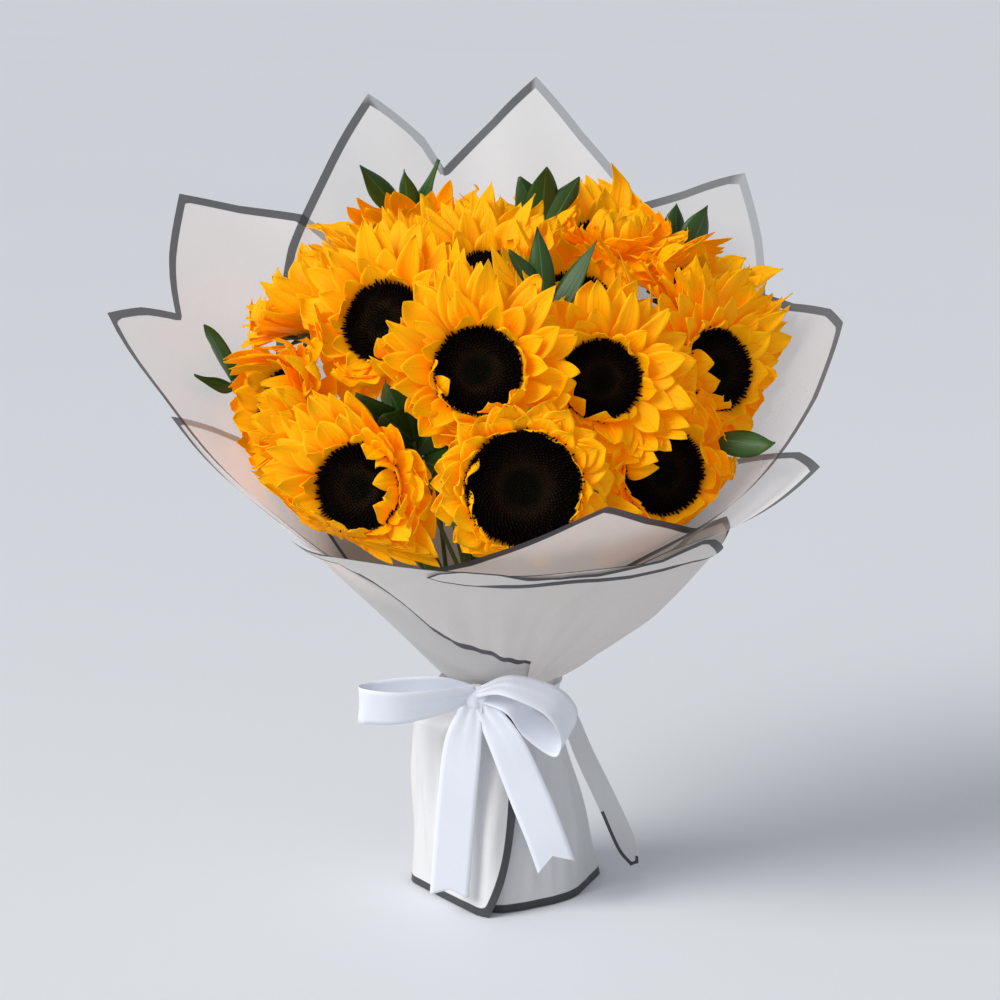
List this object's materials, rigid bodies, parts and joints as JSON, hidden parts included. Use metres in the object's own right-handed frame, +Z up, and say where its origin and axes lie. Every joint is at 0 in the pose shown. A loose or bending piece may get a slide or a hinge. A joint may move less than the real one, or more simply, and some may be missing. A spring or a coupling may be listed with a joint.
{
  "type": "bunch of sunflowers",
  "caption": "Hand-tied bunch of sunflowers with dark greens, wrapped in grey-edged frosted film with a white ribbon.",
  "frame": {"origin": "middle of the spread wrap's plan, on the surface that the bunch stands on", "axes": "+Z up along the standing bunch, -Y to its front, where the cuff and the bow are, +X to the front's right"},
  "size_m": [0.4961, 0.3683, 0.5618],
  "materials": {
    "petal": "soft, matt, with fine ribs along each petal",
    "seed_disc": "dark, matt, rough with florets",
    "stem": "hairy green plant tissue, matt",
    "leaf": "dark green, waxy, satin",
    "film": "frosted film with a dark grey printed border",
    "twine": "plain twine",
    "ribbon": "white satin with a lavender tint"
  },
  "bodies": {
    "root": {"sunflower_01_petals": "petal", "sunflower_01_disc": "seed_disc", "sunflower_01_stem": "stem", "sunflower_02_petals": "petal", "sunflower_02_disc": "seed_disc", "sunflower_02_stem": "stem", "sunflower_03_petals": "petal", "sunflower_03_disc": "seed_disc", "sunflower_03_stem": "stem", "sunflower_04_petals": "petal", "sunflower_04_disc": "seed_disc", "sunflower_04_stem": "stem", "sunflower_05_petals": "petal", "sunflower_05_disc": "seed_disc", "sunflower_05_stem": "stem", "sunflower_06_petals": "petal", "sunflower_06_disc": "seed_disc", "sunflower_06_stem": "stem", "sunflower_07_petals": "petal", "sunflower_07_disc": "seed_disc", "sunflower_07_stem": "stem", "sunflower_08_petals": "petal", "sunflower_08_disc": "seed_disc", "sunflower_08_stem": "stem", "sunflower_09_petals": "petal", "sunflower_09_disc": "seed_disc", "sunflower_09_stem": "stem", "sunflower_10_petals": "petal", "sunflower_10_disc": "seed_disc", "sunflower_10_stem": "stem", "sunflower_11_petals": "petal", "sunflower_11_disc": "seed_disc", "sunflower_11_stem": "stem", "sunflower_12_petals": "petal", "sunflower_12_disc": "seed_disc", "sunflower_12_stem": "stem", "sunflower_13_petals": "petal", "sunflower_13_disc": "seed_disc", "sunflower_13_stem": "stem", "sunflower_14_petals": "petal", "sunflower_14_disc": "seed_disc", "sunflower_14_stem": "stem", "sunflower_15_petals": "petal", "sunflower_15_disc": "seed_disc", "sunflower_15_stem": "stem", "greens_left": "leaf", "greens_back": "leaf", "greens_middle": "leaf", "greens_front": "leaf", "wrap_sheet_back": "film", "wrap_sheet_left": "film", "wrap_sheet_right": "film", "wrap_sheet_left_front": "film", "wrap_sheet_right_front": "film", "wrap_sheet_inner_front": "film", "wrap_sheet_cuff": "film", "wrap_skirt": "film", "wrap_tail": "film", "inner_tie": "twine", "ribbon": "ribbon"}
  },
  "joints": []
}
